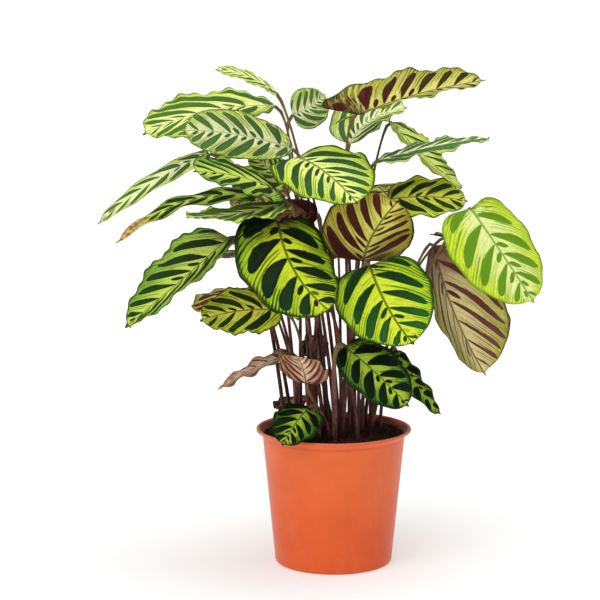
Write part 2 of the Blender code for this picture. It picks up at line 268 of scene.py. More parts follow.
def makeCamera():
    data = bpy.data.cameras.new("camera")
    data.lens = data.sensor_width * view["focalPixels"] / view["picturePixels"]
    camera = link("camera", data)
    camera.location = view["eye"]
    camera.rotation_euler = (math.radians(90 - view["pitch"]), 0, 0)
    bpy.context.scene.camera = camera


def makeLight(name, source, spread, strength):  # a wide sun, which lights all of the floor alike
    data = bpy.data.lights.new(name, "SUN")
    data.angle = math.radians(spread)
    data.energy = strength
    lamp = link(name, data)
    lamp.rotation_euler = Vector(source).to_track_quat("Z", "Y").to_euler()


def makeStudio():
    world = bpy.data.worlds.new("studio")
    world.use_nodes = True
    tree = world.node_tree
    seen = node(tree, "ShaderNodeLightPath")  # what the camera sees of it is white, and its light is softer
    strength = seen * (light["backdrop"] - light["world"]) + light["world"]
    plug(tree.nodes["Background"], {"Color": white, "Strength": strength})
    bpy.context.scene.world = world
    for name in ("key", "top"):
        makeLight(name, **light[name])
    material, tree, shader = newMaterial("pale_floor")
    plug(shader, {"Base Color": floor["colour"], "Roughness": floor["roughness"],
                  "Emission Color": white, "Emission Strength": floor["glow"]})
    bpy.ops.mesh.primitive_circle_add(vertices=floor["sides"], radius=floor["radius"], fill_type="NGON")
    disc = bpy.context.object
    disc.name = "floor"
    disc.data.materials.append(material)
    bpy.context.scene.view_settings.view_transform = "Standard"


makeCamera()
makeStudio()
print("camera, light and floor are set")


# Pot: a turned nursery pot

pot = dict(
    rimBand=0.0027, rimTopWidth=0.0030, flareHeight=0.0120, flareTurn=70, flareSteps=12,
    wallTopRadius=0.0775, baseRadius=0.0645, wall=0.0020, floorThickness=0.0022, footRecess=0.0020,
    footRingWidth=0.0070, footPadRadius=0.0280, footRound=0.0040, edgeRound=0.0010, cornerRound=0.0020,
    sides=160, drainCount=8, drainRadius=0.0040, drainCircle=0.0440, drainSides=32, drainDepth=0.006,
    # painted light: the pot turns lighter towards the top, where the light from above falls
    sharpAngle=35, colour=screen(224, 90, 32), litUpperColour=screen(232, 106, 50), litUpperRange=(0.02, 0.145),
    darkColour=screen(196, 72, 24),
    cloud=(26, 4, 0.6),  # the scale, detail and roughness of a noise, as in rings, grain and smudge
    cloudRange=(0.35, 0.8), cloudShare=0.35, dustColour=screen(232, 134, 100), smudge=(34, 5, 0.65),
    smudgeStretch=(1, 1, 0.4), smudgeShift=(0.3, 0.1, 0), smudgeRange=(0.56, 0.78), smudgeShare=0.30,
    footShadeRange=(0.001, 0.0045),  # painted shade: the dark lines at the foot, under the rim's band and in the flare
    footShadeShare=0.4, bandShadeRange=(0.0004, 0.0016), bandShadeShare=0.35, flareShadeHeight=0.0090, flareShadeReach=0.0024,
    # the rim's top edge gets a painted highlight in a pale pink
    flareShadeShare=0.45, rimHighlightColour=screen(244, 150, 112), rimHighlightHeight=0.0012, rimHighlightShare=0.6,
    innerDarkColour=screen(84, 40, 22),  # a darker colour on the inner wall, above the soil
    innerDarkHeight=0.1430, innerDarkFade=0.0010, innerDarkRadius=0.0780, innerDarkSlope=0.8, innerDarkBlur=0.0004,
    innerDarkUnevenness=0.012, innerDarkEnd=(0.1470, 0.1495), innerDarkShare=0.85, roughness=0.40,
    cloudRoughness=0.14, smudgeRoughness=0.10, rings=(620, 2, 0.6), ringBump=0.5, grain=(700, 3, 0.6),
    grainBump=0.25, bumpHeight=0.00018,
)

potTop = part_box("pot")[1]
potHeight = potTop.z
rimRadius = potTop.x
flareFoot = potHeight - pot["rimBand"] - pot["flareHeight"]


def flare(offset):  # points up the hollow curve below the rim, set in from the pot's outer face
    across = rimRadius - pot["edgeRound"] - pot["wallTopRadius"]
    points = []
    for i in range(pot["flareSteps"] + 1):
        turn = math.radians(pot["flareTurn"] * i / pot["flareSteps"])
        out = (across + offset) * (1 - math.cos(turn))
        rise = (pot["flareHeight"] + offset) * math.sin(turn)
        points.append((pot["wallTopRadius"] - offset + out, flareFoot + rise))
    return points


def potInside(height):  # the pot's inner radius at a height
    points = [(pot["baseRadius"] - pot["wall"], 0)] + flare(pot["wall"])
    for (near, low), (far, high) in zip(points, points[1:]):
        if height <= high:
            break
    return near + (far - near) * min((height - low) / (high - low), 1)


def arc(middle, radius, start, end, steps):  # points on a circle from one angle to another, in degrees
    points = []
    for i in range(steps + 1):
        turn = math.radians(start + (end - start) * i / steps)
        points.append((middle[0] + radius * math.cos(turn), middle[1] + radius * math.sin(turn)))
    return points


def potProfile():
    floorTop = pot["footRecess"] + pot["floorThickness"]
    corner, edge, foot = pot["cornerRound"], pot["edgeRound"], pot["footRound"]
    ringInside = pot["baseRadius"] - pot["footRingWidth"]
    inside = [
        (0, floorTop),
        (potInside(floorTop + corner) - corner, floorTop),
        (potInside(floorTop + corner), floorTop + corner),
    ]
    lip = arc((rimRadius - pot["rimTopWidth"] + edge / 2, potHeight - edge / 2), edge / 2, 150, 90, 3)
    lip += arc((rimRadius - edge, potHeight - edge), edge, 90, 0, 6)
    band = arc((rimRadius - edge / 2, potHeight - pot["rimBand"] + edge / 2), edge / 2, 0, -90, 4)
    under = [
        (ringInside, 0),
        (ringInside - edge / 2, pot["footRecess"]),
        (pot["footPadRadius"] + edge / 2, pot["footRecess"]),
        (pot["footPadRadius"], 0),
        (0, 0),
    ]
    outside = list(reversed(flare(0))) + arc((pot["baseRadius"] - foot, foot), foot, 0, -90, 8)
    return inside + flare(pot["wall"]) + lip + band + outside + under


def turned(name, profile, sides):  # a profile of (radius, height) points turned about the upright axis
    mesh = bpy.data.meshes.new(name)
    mesh.from_pydata([(radius, 0, height) for radius, height in profile],
                     [(i, i + 1) for i in range(len(profile) - 1)], [])
    thing = link(name, mesh)
    screw = thing.modifiers.new("Turn", "SCREW")
    screw.steps = screw.render_steps = sides
    screw.use_merge_vertices = True
    screw.merge_threshold = 0.00001
    return thing


def drainCutter():
    cutter = link("drain_cutter", bpy.data.meshes.new("drain_cutter"))
    pegs = []
    for i in range(pot["drainCount"]):
        turn = 2 * math.pi * (i + 0.5) / pot["drainCount"]
        place = (pot["drainCircle"] * math.cos(turn),
                 pot["drainCircle"] * math.sin(turn), pot["drainDepth"] / 2)
        bpy.ops.mesh.primitive_cylinder_add(
            vertices=pot["drainSides"], radius=pot["drainRadius"], depth=pot["drainDepth"],
            location=place)
        pegs.append(bpy.context.object)
        cut = cutter.modifiers.new(f"peg {i}", "BOOLEAN")
        cut.operation = "UNION"
        cut.object = pegs[-1]
    whole = settled(cutter)
    for peg in pegs:
        bpy.data.objects.remove(peg)
    return whole


def potMaterial():
    material, tree, shader = newMaterial("terracotta_plastic")
    place = ownPlace(tree)
    x, y, height = parts(place)
    cloud = noise(place, *pot["cloud"])
    grain = noise(place, *pot["grain"])
    rings = noise(together(0, 0, height), *pot["rings"])
    smears = noise(place * pot["smudgeStretch"] + pot["smudgeShift"], *pot["smudge"])
    smudge = ramp(smears, *pot["smudgeRange"])
    # painted shade: dark lines at the foot, under the rim's band and in the hollow of the flare
    foot = 1 - ramp(height, *pot["footShadeRange"])
    bandShade = 1 - ramp(maths("ABSOLUTE", height - (potHeight - pot["rimBand"])), *pot["bandShadeRange"])
    flareShade = maths("ABSOLUTE", height - (potHeight - pot["flareShadeHeight"]))
    flareShade = 1 - ramp(flareShade, 0, pot["flareShadeReach"])
    # darker on the inner wall between the soil and the rim
    radius = maths("SQRT", x * x + y * y)
    above = height - pot["innerDarkHeight"]
    past = radius - pot["innerDarkRadius"] - above * pot["innerDarkSlope"]  # past a line between the walls
    inside = (1 - ramp(past, -pot["innerDarkBlur"], pot["innerDarkBlur"])) * ramp(above, -pot["innerDarkFade"], 0)
    innerDark = inside * (1 - ramp(height + (cloud - 0.5) * pot["innerDarkUnevenness"], *pot["innerDarkEnd"]))
    colour = layered(
        pot["colour"],
        # painted light: lighter towards the top
        (ramp(height, *pot["litUpperRange"]), pot["litUpperColour"]),
        (ramp(cloud, *pot["cloudRange"]) * pot["cloudShare"], pot["darkColour"]),
        (smudge * pot["smudgeShare"], pot["dustColour"]),
        (clipped(foot * pot["footShadeShare"] + bandShade * pot["bandShadeShare"] + flareShade * pot["flareShadeShare"]),
         pot["darkColour"]),
        # a painted highlight along the rim's top edge
        (ramp(height - potHeight, -pot["rimHighlightHeight"], 0) * pot["rimHighlightShare"], pot["rimHighlightColour"]),
        (innerDark * pot["innerDarkShare"], pot["innerDarkColour"]))
    plug(shader, {
        "Base Color": colour,
        "Roughness": pot["roughness"] + pot["cloudRoughness"] * cloud + pot["smudgeRoughness"] * smudge,
        "Specular IOR Level": 0.3,
        "Sheen Weight": 0.22,
        "Sheen Roughness": 0.35,
        "Normal": bumped(rings * pot["ringBump"] + grain * pot["grainBump"], pot["bumpHeight"])})
    return material


def makePot():
    thing = turned("pot_shell", potProfile(), pot["sides"])
    cutter = drainCutter()
    cut = thing.modifiers.new("Drain holes", "BOOLEAN")
    cut.object = cutter
    cut.solver = "EXACT"
    shell = settled(thing)
    bpy.data.objects.remove(cutter)
    shell.data.materials.clear()
    shell.data.materials.append(potMaterial())
    shell.data.shade_smooth()
    shell.data.set_sharp_from_angle(angle=math.radians(pot["sharpAngle"]))
    handOver(shell, "pot")


makePot()
print("the pot is made")


# Soil: a mound with crumbs lying on it

soil = dict(
    gap=0.0003, edgeHeight=0.1430, middleHeight=0.1480, rings=26, sides=96, topFade=0.0004,
    lumpHeight=0.0022,
    lump=(150, 4, 0.62),  # the scale, detail and roughness of a noise, as in the others below
    crumbs=2600, crumbLeast=0.0006, crumbMost=0.0026, crumbStretch=((0.7, 0.5, 0.4), (1.5, 1.1, 0.9)),
    crumbTurn=6.3, crumbNoise=(1.3, 2, 0.5), crumbDent=(0.55, 0.9), placeSeed=7, sizeSeed=3,
    stretchSeed=4, turnSeed=5, dark=screen(24, 15, 12), brown=screen(62, 38, 26), coarse=(160, 5, 0.7),
    coarseRange=(0.35, 0.65), red=screen(104, 52, 34), bits=(420, 2, 0.5), redShift=(0.4, 0.2, 0.7),
    redRange=(0.60, 0.70), redShare=0.8, pale=screen(150, 120, 92), fine=(1200, 4, 0.7),
    paleRange=(0.68, 0.76), paleShare=0.5, roughness=(0.72, 0.25), fineBump=0.5, bumpHeight=0.0012,
)


def soilProfile():
    edge = potInside(soil["edgeHeight"]) - soil["gap"]
    rise = soil["middleHeight"] - soil["edgeHeight"]
    mound = [(edge * i / soil["rings"], soil["edgeHeight"] + rise * (1 - (i / soil["rings"]) ** 2))
             for i in range(soil["rings"] + 1)]
    floorTop = pot["footRecess"] + pot["floorThickness"] + soil["gap"]
    corner = pot["cornerRound"]
    down = [(radius - soil["gap"], height) for radius, height in reversed(flare(pot["wall"]))
            if height < soil["edgeHeight"]]
    down.append((potInside(floorTop + corner) - soil["gap"], floorTop + corner))
    return mound + down + [(down[-1][0] - corner, floorTop), (0, floorTop)]


def soilMaterial():
    material, tree, shader = newMaterial("moist_soil")
    place = ownPlace(tree)
    coarse = noise(place, *soil["coarse"])
    fine = noise(place, *soil["fine"])
    bits = noise(place + soil["redShift"], *soil["bits"])
    colour = layered(
        soil["dark"],
        (ramp(coarse, *soil["coarseRange"]), soil["brown"]),
        (ramp(bits, *soil["redRange"]) * soil["redShare"], soil["red"]),
        (ramp(fine, *soil["paleRange"]) * soil["paleShare"], soil["pale"]))
    plug(shader, {
        "Base Color": colour,
        "Roughness": between(soil["roughness"], fine),
        "Specular IOR Level": 0.15,
        "Normal": bumped(coarse + fine * soil["fineBump"], soil["bumpHeight"])})
    return material


def randomVector(tree, least, most, seed):
    return node(tree, "FunctionNodeRandomValue", {"data_type": "FLOAT_VECTOR"},
                {0: least, 1: most, 8: seed})


def crumbTree():  # roughens the mound's top and scatters crumbs over it
    tree, given, identifiers = newTree("SoilWithCrumbs", {
        "Lump Height": "Float", "Crumb Count": "Float", "Least": "Float", "Most": "Float",
        "Top Level": "Float", "Reach": "Float", "Seed": "Int", "Material": "Material"})
    place = node(tree, "GeometryNodeInputPosition")
    level = given["Top Level"]
    onTop = ramp(parts(place)[2], level - soil["topFade"], level)
    lump = noise(place, *soil["lump"]) - 0.5
    lifted = node(tree, "GeometryNodeSetPosition", None, {
        "Geometry": given["Geometry"],
        "Offset": together(0, 0, lump * onTop * given["Lump Height"] * 2)})
    area = math.pi * given["Reach"] * given["Reach"]
    scattered = node(tree, "GeometryNodeDistributePointsOnFaces", None, {
        "Mesh": lifted, "Density": given["Crumb Count"] / area * onTop, "Seed": given["Seed"]})
    size = node(tree, "FunctionNodeRandomValue", {"data_type": "FLOAT"},
                {2: 0.0, 3: 1.0, 8: soil["sizeSeed"]}, 1)
    stretch = randomVector(tree, *soil["crumbStretch"], soil["stretchSeed"])
    spin = randomVector(tree, (0, 0, 0), (soil["crumbTurn"],) * 3, soil["turnSeed"])
    ball = node(tree, "GeometryNodeMeshIcoSphere", None, {"Radius": 1.0, "Subdivisions": 2})
    dented = node(tree, "GeometryNodeSetPosition", None, {
        "Geometry": ball,
        "Position": place * between(soil["crumbDent"], noise(place, *soil["crumbNoise"]))})
    crumbs = node(tree, "GeometryNodeInstanceOnPoints", None, {
        "Points": scattered,
        "Instance": dented,
        "Rotation": node(tree, "FunctionNodeEulerToRotation", None, {0: spin}),
        "Scale": stretch * (given["Least"] + (given["Most"] - given["Least"]) * size ** 3)})
    endTree(tree, (lifted, crumbs), given["Material"])
    return tree, identifiers


def makeSoil():
    mound = settled(turned("soil_bed", soilProfile(), soil["sides"]))
    bed = grown(mound, *crumbTree(), {
        "Lump Height": soil["lumpHeight"], "Crumb Count": float(soil["crumbs"]),
        "Least": soil["crumbLeast"], "Most": soil["crumbMost"], "Top Level": soil["edgeHeight"],
        "Reach": potInside(soil["edgeHeight"]), "Seed": soil["placeSeed"], "Material": soilMaterial()})
    handOver(bed, "soil")


makeSoil()
print("the soil is made")


# Leaves: one tree grows a stalk along its path, and a blade from its collar

blade = dict(
    rows=64, around=72,
    crowding=1.5,  # draws the columns towards the midrib
    endRows=0.5, endSharpness=200, thickness=0.0007,
    thinning=4,  # the power of the thinning towards the margin
    roundEnd=0.965, roundPower=0.92, pointWidth=0.10, pointLength=0.09, collarHalf=0.0016, tipHalf=0.0005,
    creaseRound=0.0040, cup=0.10, waveCount=3.0, waveTurn=2.4, otherSideTurn=1.3, waveFade=0.7,
    wavePower=3, twistStart=0.3, ribDepth=0.0013, ribHalf=0.0012, ribFade=0.8, grooveDepth=0.0004,
    pleatHeight=0.0009, pleatStart=(0.04, 0.3),
    ripple=0.0045,  # of the blade's width
    rippleCount=9.0, rippleTurn=3.1, ripplePower=4, lobeEnd=0.35, unevenness=0.0022,
    unevenStretch=(3.2, 1.7, 1.37),  # along a blade, across it, and from leaf to leaf
    uneven=(1.6, 2, 0.5),  # the scale, detail and roughness of a noise
    mergeDistance=0.000002,
)

stem = dict(
    level=0.146, foot=0.118, spread=0.0086, lean=0.3, reach=0.45, swell=1.25, taper=0.6, smoothness=32,
    points=40, sides=14, collarSwell=0.35, collarLength=0.020, collarFade=0.7,
)

# The veins run from the midrib outwards and towards the tip, and the ovals lie between them
pattern = dict(
    footSlant=0.40,  # of the first vein, as a share of a leaf's slant
    slantGrowth=1.1, curve=0.8, linesPerOval=6.0,
    wobbleNoise=(60, 3, 0.6),  # its scale, detail and roughness
    wobble=0.02,
    leafShift=0.37,  # of the ovals, from one leaf to the next
    halfShift=0.45,  # of the ovals, from one half of a blade to the other
    midribGap=0.02,
    ovalUnevenness=(0.86, 0.28),  # the least, and what chance adds to it, as in the pairs below
    ovalReachLess=0.08, ovalReachMore=0.12, ovalTail=0.70, ovalPlump=0.55, ovalPower=0.6,
    ovalShare=(0.6, 0.4), ovalEnd=(0.90, 0.96), ovalWobble=0.08, ovalCore=0.16, blur=0.03, bandSeed=7,
    dropSeed=31, dropReach=(0.08, 0.20), dropHalf=0.15, dropLuck=(0.45, 0.5), lineSeeds=(57, 83),
    lineWobble=0.2, lineHalf=(0.1, 0.2), lineEnd=(0.35, 0.4), lineStart=0.45, lineBegin=0.2,
    lineShare=(0.35, 0.65),
)


def veinStart(t, spread, slant):  # where along the midrib the vein through a point starts
    steepness = pattern["footSlant"] + pattern["slantGrowth"] * t + pattern["curve"] * spread
    return t - slant * steepness * spread


usualShape = dict(arch=0.006, bend=0.0, fold=0.12, wave=0.003, taper=0.86, roll=0, twist=0, lobe=0.0,
                  stem=0.0019, neck=0.024, ovals=5.2, slant=0.6, ripple=1.0)


def leafTree():
    tree, given, identifiers = newTree("LeafOnItsStalk", {
        "Collar": "Vector", "Axis": "Vector", "Face": "Vector",
        **dict.fromkeys(("Width", "Arch", "Bend", "Fold", "Wave", "Taper", "Twist", "Lobe", "Ovals", "Slant",
                         "Ripple", "Seat", "Stem Radius"), "Float"),
        "Blade Material": "Material", "Stalk Material": "Material"})
    grid = node(tree, "GeometryNodeMeshGrid", None, {
        "Size X": 1.0, "Size Y": 1.0, "Vertices X": blade["rows"] + 1, "Vertices Y": blade["around"] + 1})
    x, y = parts(node(tree, "GeometryNodeInputPosition"))[:2]
    even = x + 0.5
    t = even * (1 - blade["endRows"]) + (1 - maths("COSINE", even * math.pi)) * (blade["endRows"] / 2)
    loop = maths("ABSOLUTE", y * 4) - 1  # 1 at the seam, -1 at the other margin, and 1 again
    v = loop * maths("ABSOLUTE", loop) ** (blade["crowding"] - 1)
    under = maths("LESS_THAN", y, 0)
    reach = maths("ABSOLUTE", v)

    width, fold, seat = given["Width"], given["Fold"], given["Seat"]
    place = clipped(t / blade["roundEnd"]) ** given["Taper"]
    body = maths("SQRT", clipped(4 * place * (1 - place))) ** blade["roundPower"]
    point = blade["pointWidth"] * clipped((1 - t) / blade["pointLength"])
    ends = clipped(t * blade["endSharpness"]) * clipped((1 - t) * blade["endSharpness"])
    share = maths("MAXIMUM", body, point)
    half = width / 2 * share + blade["collarHalf"] * (1 - t) + blade["tipHalf"]
    across = half * v * ends
    span = vectorMaths("LENGTH", given["Axis"], output=1)
    spread = maths("ABSOLUTE", across) / span

    phase = seat * blade["waveTurn"] + maths("LESS_THAN", v, 0) * blade["otherSideTurn"]
    lift = fold * (maths("SQRT", across * across + blade["creaseRound"] ** 2) - blade["creaseRound"])
    lift = lift - blade["cup"] * across * across / (width / 2)
    swing = maths("SINE", t * (2 * math.pi * blade["waveCount"]) + phase)
    waved = given["Wave"] * reach ** blade["wavePower"]
    lift = lift + waved * clipped(maths("SINE", t * math.pi)) ** blade["waveFade"] * swing
    ripple = maths("SINE", t * (2 * math.pi * blade["rippleCount"]) + phase * blade["rippleTurn"])
    lift = lift + blade["ripple"] * given["Ripple"] * width * reach ** blade["ripplePower"] * ripple * ends
    vein = veinStart(t, spread, given["Slant"])
    thinner = 1 - reach ** blade["thinning"]
    pleat = maths("COSINE", vein * given["Ovals"] * (2 * math.pi)) * ramp(reach, *blade["pleatStart"])
    lift = lift + blade["pleatHeight"] * (pleat * thinner) * ends
    along, beside, onward = blade["unevenStretch"]
    uneven = noise(together(t * along, v * beside, seat * onward), *blade["uneven"])
    lift = lift + blade["unevenness"] * (uneven - 0.5) * reach * ends

    axis, face, collar = given["Axis"], given["Face"], given["Collar"]
    side = vectorMaths("NORMALIZE", vectorMaths("CROSS_PRODUCT", axis, face))
    bow = face * given["Arch"] + side * given["Bend"]
    midrib = collar + axis * t + bow * (4 * t * (1 - t))
    ahead = vectorMaths("NORMALIZE", axis + bow * (4 * (1 - 2 * t)))
    upright = face - ahead * vectorMaths("DOT_PRODUCT", ahead, face, output=1)
    upright = vectorMaths("NORMALIZE", upright)
    turn = given["Twist"] * (t - blade["twistStart"])
    aside = vectorMaths("CROSS_PRODUCT", ahead, upright) * maths("SINE", turn)
    up = upright * maths("COSINE", turn) + aside
    sideways = vectorMaths("CROSS_PRODUCT", ahead, up)

    skin = blade["thickness"] / 2 * thinner * ends * (1 - 2 * under)
    ribShare = maths("EXPONENT", 0 - across * across / blade["ribHalf"] ** 2) * ends
    ribDepth = under * blade["ribDepth"] * (1 - t) ** blade["ribFade"]
    grooveDepth = (1 - under) * blade["grooveDepth"] * (1 - t)
    level = lift + skin - ribShare * (ribDepth + grooveDepth)
    flat = across / maths("SQRT", 1 + fold * fold)
    early = clipped(1 - t / blade["lobeEnd"])
    back = given["Lobe"] * share * reach * reach * early * early * span * ends

    sheet = stored(grid, "blade", t, v, under)
    sheet = stored(sheet, "veins", given["Ovals"], given["Slant"], 0)
    sheet = stored(sheet, "spread", spread, share, seat)
    shaped = node(tree, "GeometryNodeSetPosition", None, {
        "Geometry": sheet, "Position": midrib + sideways * flat + up * level - ahead * back})
    closed = node(tree, "GeometryNodeMergeByDistance", None, {0: shaped, "Distance": blade["mergeDistance"]})

    path = node(tree, "GeometryNodeResampleCurve", None, {
        "Curve": given["Geometry"], "Count": stem["points"]})
    factor = node(tree, "GeometryNodeSplineParameter")
    length = node(tree, "GeometryNodeSplineLength")
    radius = given["Stem Radius"] * (stem["swell"] - stem["taper"] * factor)
    neck = ramp((1 - factor) * length, stem["collarLength"], stem["collarLength"] * stem["collarFade"])
    radius = radius + given["Stem Radius"] * stem["collarSwell"] * neck
    path = stored(path, "stalk", factor, neck, seat)
    ring = node(tree, "GeometryNodeCurvePrimitiveCircle", None, {
        "Resolution": stem["sides"], "Radius": 1.0})
    tube = node(tree, "GeometryNodeCurveToMesh", None, {
        "Curve": path, "Profile Curve": ring, "Scale": radius, "Fill Caps": True})
    endTree(tree, (covered(tube, given["Stalk Material"]), covered(closed, given["Blade Material"])))
    return tree, identifiers


def seatPlace(seat):  # the places of a sunflower spiral, counted from the middle of the soil
    radius = stem["spread"] * math.sqrt(seat + 0.5)
    turn = seat * goldenAngle
    return Vector((radius * math.cos(turn), radius * math.sin(turn), stem["level"]))


def stalkPath(name, seat, collar, neck):  # straight up through the soil, then on a curve to the collar
    start = seatPlace(seat)
    out = collar - start
    lean = Vector((out.x * stem["lean"], out.y * stem["lean"], out.z)).normalized()
    curve = bpy.data.curves.new(name, "CURVE")
    curve.dimensions = "3D"
    curve.resolution_u = stem["smoothness"]
    spline = curve.splines.new("BEZIER")
    spline.bezier_points.add(2)
    foot = start - lean * (stem["level"] - stem["foot"]) / lean.z
    third = (start - foot) / 3
    reach = lean * stem["reach"] * out.length
    knots = (
        (foot, foot - third, foot + third),
        (start, start - third, start + reach),
        (collar, collar - neck, collar + neck),
    )
    for point, (place, before, after) in zip(spline.bezier_points, knots):
        point.handle_left_type = point.handle_right_type = "FREE"
        point.co = place
        point.handle_left = before
        point.handle_right = after
    return link(name, curve)


def leaf(name, tone, seat, collar, tip, facing, width, look, dry=0.0, **shape):
    shape = {**usualShape, **shape}
    collar, tip, facing = Vector(collar), Vector(tip), Vector(facing)
    axis = tip - collar
    along = axis.normalized()
    face = (facing - facing.dot(along) * along).normalized()
    roll = math.radians(shape["roll"])
    face = face * math.cos(roll) + along.cross(face) * math.sin(roll)
    side = along.cross(face)
    ahead = (axis + (face * shape["arch"] + side * shape["bend"]) * 4).normalized()
    path = stalkPath(f"{name}_leaf", seat, collar, ahead * shape["neck"])
    asGiven = ("arch", "bend", "fold", "wave", "taper", "lobe", "ovals", "slant", "ripple")
    piece = grown(path, *leafGrower, {
        "Collar": collar, "Axis": axis, "Face": face, "Width": width,
        **{key.capitalize(): shape[key] for key in asGiven},
        "Twist": math.radians(shape["twist"]), "Seat": float(seat), "Stem Radius": shape["stem"],
        "Blade Material": bladeMaterial(*look.split(), dry), "Stalk Material": stalkMaterial()})
    handOver(piece, f"leaf_{name}")


# Each face of a blade: the ground near the midrib and near the margin, the ovals near the collar and near the
# tip, the fine lines, the margin and the midrib, then the ovals' width and reach, the strength of the fine
# lines, the width of the dark margin, how far the dark part at the collar reaches (partly the leaf's own
# markings and partly painted shade under the leaves above), and the roughness
lookNames = ("inner", "outer", "oval", "far", "line", "margin", "midrib",
             "ovalWidth", "ovalReach", "lines", "rim", "dark", "shine")


def faceLooks(**rows):  # three numbers are a colour as it looks on a screen
    return {title: {name: screen(*value) if isinstance(value, tuple) else value
                    for name, value in zip(lookNames, row)} for title, row in rows.items()}


upperLooks = faceLooks(
    vivid=(
        (208, 226, 44), (158, 196, 30), (14, 20, 14), (16, 48, 20), (36, 70, 16), (18, 50, 18),
        (14, 40, 16), 0.34, 0.86, 0.95, 0.085, 0.20, 0.5),
    bright=(
        (220, 236, 54), (180, 214, 38), (14, 50, 18), (34, 92, 30), (56, 104, 20), (44, 92, 26),
        (20, 58, 22), 0.31, 0.86, 0.95, 0.07, 0.12, 0.5),
    fresh=(
        (236, 246, 134), (200, 224, 52), (34, 66, 34), (44, 98, 44), (76, 116, 34), (62, 108, 34),
        (46, 84, 34), 0.26, 0.86, 0.95, 0.06, 0.08, 0.5),
    # pale and grey: the leaves' own paler colour, with a painted sheen of the light from above
    pale=(
        (250, 254, 160), (222, 240, 84), (58, 98, 34), (68, 116, 38), (108, 140, 52), (104, 146, 50),
        (150, 176, 100), 0.30, 0.90, 0.9, 0.05, 0.05, 0.5),
    grey=(
        (250, 254, 188), (226, 242, 114), (66, 98, 58), (84, 126, 60), (96, 128, 64), (104, 142, 62),
        (170, 190, 140), 0.31, 0.90, 0.85, 0.05, 0.05, 0.5),
    lime=(
        (204, 224, 96), (142, 182, 58), (20, 44, 16), (26, 66, 20), (54, 92, 22), (50, 96, 26),
        (78, 112, 40), 0.31, 0.88, 0.95, 0.06, 0.10, 0.5),
    # painted light: a brighter ground for the low leaves that face down into shade
    sunny=(
        (252, 255, 104), (234, 246, 62), (24, 50, 18), (36, 70, 22), (80, 112, 30), (74, 110, 30),
        (60, 92, 34), 0.28, 0.88, 0.95, 0.06, 0.08, 0.5),
    cream=(
        (230, 240, 156), (208, 228, 54), (98, 140, 20), (96, 146, 28), (112, 150, 40), (150, 188, 36),
        (104, 144, 40), 0.24, 0.82, 0.9, 0.06, 0.06, 0.5),
    deep=(
        (176, 204, 60), (70, 116, 30), (10, 22, 12), (12, 36, 14), (20, 50, 16), (14, 42, 16),
        (30, 64, 24), 0.38, 0.88, 0.95, 0.14, 0.20, 0.5),
)
underLooks = faceLooks(
    maroon=(
        (228, 226, 104), (190, 186, 60), (62, 20, 20), (84, 32, 26), (122, 78, 40), (118, 92, 42),
        (70, 26, 26), 0.32, 0.88, 0.9, 0.05, 0.16, 0.6),
    bronze=(
        (230, 230, 124), (196, 204, 84), (76, 26, 30), (40, 56, 20), (116, 84, 40), (104, 112, 46),
        (84, 40, 34), 0.29, 0.90, 0.9, 0.05, 0.12, 0.6),
    plum=(
        (150, 108, 74), (96, 46, 40), (50, 18, 20), (62, 24, 26), (64, 26, 26), (58, 24, 24),
        (52, 20, 22), 0.36, 0.92, 0.9, 0.08, 0.35, 0.6),
    pink=(
        (226, 216, 148), (196, 206, 80), (84, 38, 46), (118, 66, 60), (134, 92, 70), (128, 110, 58),
        (88, 42, 46), 0.24, 0.90, 0.9, 0.05, 0.42, 0.6),
    brown=(
        (238, 208, 174), (190, 146, 110), (104, 50, 42), (122, 66, 50), (136, 86, 62), (150, 120, 84),
        (92, 48, 40), 0.27, 0.92, 0.9, 0.05, 0.12, 0.65),
)

paint = dict(
    streak=(1.0, 3, 0.6),  # the scale, detail and roughness of a noise, as in mottle, cloud and fine
    streakStretch=(16, 2.5), streakRange=(0.48, 0.66), mottle=(260, 4, 0.7), cloud=(30, 3, 0.6),
    marginWobble=0.06, marginLines=0.10, marginFade=(0.6, 1.3), ribHalf=(0.010, 0.028), ribTaper=0.02,
    groundMottle=0.3, groundCloud=0.5, groundBand=0.3, groundRange=(0.15, 0.95), mottleRange=(0.0, 0.25),
    mottleShare=0.35, streakShare=0.38, marginShare=0.9, darkWobble=0.15, darkStreak=0.10,
    darkStart=-0.03, darkShare=0.95, farCloud=0.6, farRange=(0.1, 0.9), farShare=(0.25, 0.75),
    fleckRange=(0.0, 0.3), fleckShare=0.3, fleckStreak=0.3, ribShare=0.8, underRange=(0.4, 0.6),
    fine=(1500, 3, 0.6), fineRoughness=0.10, ovalShine=0.05, ovalBump=0.2, lineBump=0.6, fineBump=0.35,
    bumpHeight=0.0003,
)

husk = dict(
    dark=screen(126, 92, 40), light=screen(214, 186, 112), noise=(220, 4, 0.7), stretch=(1, 1, 1.6),
    range=(0.38, 0.58), wobble=0.12, marginFirst=0.03, fade=0.7,
)


def bladePlace(tree):  # where a point lies on its blade, as named values
    t, v, under = attribute(tree, "blade")
    spread, share, seat = attribute(tree, "spread")
    ovals, slant = attribute(tree, "veins")[:2]
    place = ownPlace(tree)
    wobble = noise(place, *pattern["wobbleNoise"]) - 0.5
    reach = maths("ABSOLUTE", v)
    left = maths("LESS_THAN", v, 0)
    seat = maths("FLOOR", seat + 0.5)
    cell = (veinStart(t, spread, slant) + wobble * pattern["wobble"]) * ovals
    cell = cell + seat * pattern["leafShift"] + left * pattern["halfShift"]
    along, beside = paint["streakStretch"]
    streaks = noise(together(cell * along, reach * beside, seat), *paint["streak"])
    return SimpleNamespace(
        t=t, reach=reach, left=left, under=under, share=share, seat=seat, wobble=wobble, cell=cell,
        place=place,
        streak=ramp(streaks, *paint["streakRange"]),
        band=chance(maths("FLOOR", cell + 0.5) + pattern["bandSeed"], left, seat) - 0.5,
        mottle=noise(place, *paint["mottle"]) - 0.5,
        cloud=noise(place, *paint["cloud"]) - 0.5)


